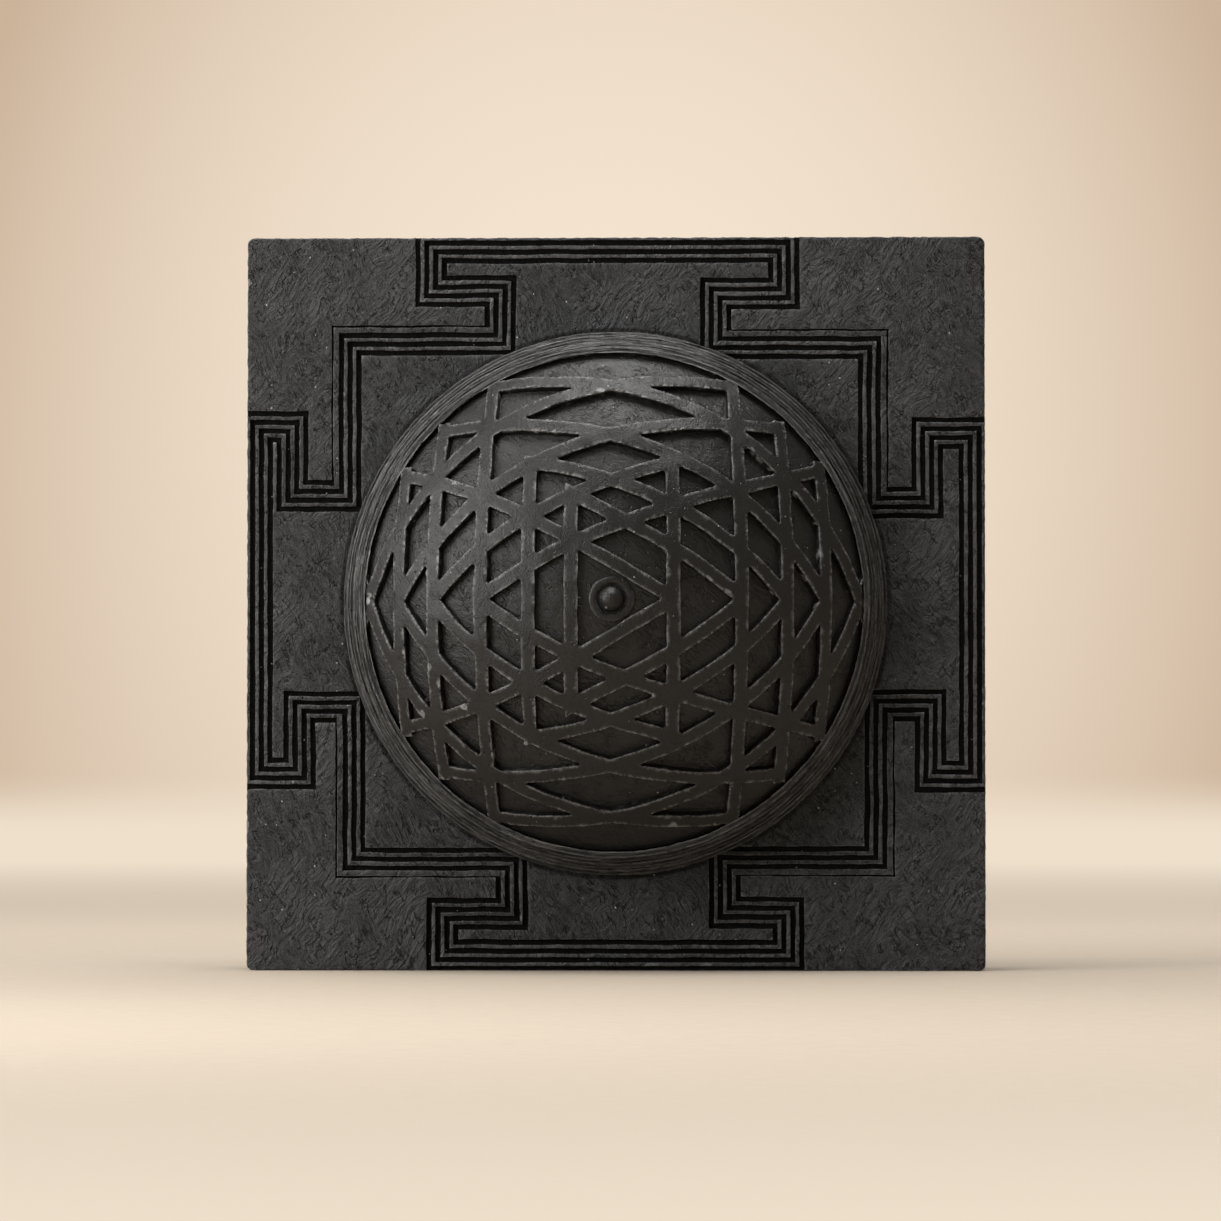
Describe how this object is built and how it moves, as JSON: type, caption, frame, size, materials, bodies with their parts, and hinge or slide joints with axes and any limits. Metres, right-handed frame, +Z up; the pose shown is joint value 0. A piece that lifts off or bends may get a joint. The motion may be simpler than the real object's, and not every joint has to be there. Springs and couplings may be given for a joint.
{
  "type": "shri yantra plaque",
  "caption": "Upright square stone slab with a meander-gate border and a central dome carved with interlocking triangles round a bead.",
  "frame": {"origin": "centre of the box's underside, on the surface that the slab's bottom edge stands on", "axes": "+X to the right and +Z up as seen from the front; the dome faces -Y and the slab's plain back faces +Y"},
  "size_m": [0.15, 0.0566, 0.149],
  "materials": {
    "slab_stone": "matt, chisel marked",
    "cell_floor_stone": "rough, picked with a point",
    "lattice_stone": "rubbed smooth, soft sheen",
    "rim_stone": "turned, satin",
    "dowel_steel": "plain drawn rod"
  },
  "bodies": {
    "root": {"base_slab": "slab_stone", "dome_core": "cell_floor_stone", "triangle_lattice": "lattice_stone", "girdle_ring_lower": "rim_stone", "girdle_ring_middle": "rim_stone", "girdle_ring_upper": "rim_stone", "bindu_collar": "lattice_stone", "bindu_bead": "lattice_stone", "dowel_left": "dowel_steel", "dowel_right": "dowel_steel"}
  },
  "joints": []
}
